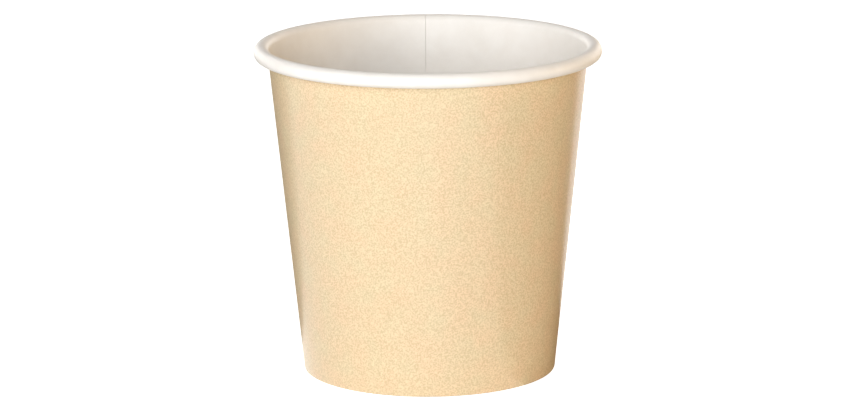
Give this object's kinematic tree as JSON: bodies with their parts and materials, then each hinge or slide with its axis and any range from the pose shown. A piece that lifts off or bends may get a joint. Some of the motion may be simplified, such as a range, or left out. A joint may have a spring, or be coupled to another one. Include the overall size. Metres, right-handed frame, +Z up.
{
  "type": "paper cup",
  "caption": "Small single-wall paper cup: conical board wall with a lapped side seam, rolled rim, and a recessed base held in a folded hem.",
  "frame": {"origin": "centre of the foot, on the surface that the cup stands on", "axes": "+Z up through the mouth, the cup's axis; the inner cut edge of the side seam lies on the +Y half plane"},
  "size_m": [0.062, 0.062, 0.059],
  "materials": {
    "printed_board": "cream print with a light satin coating",
    "white_board": "white board with a thin coating"
  },
  "bodies": {
    "root": {"side_wall": "printed_board", "base_disc": "white_board"}
  },
  "joints": []
}
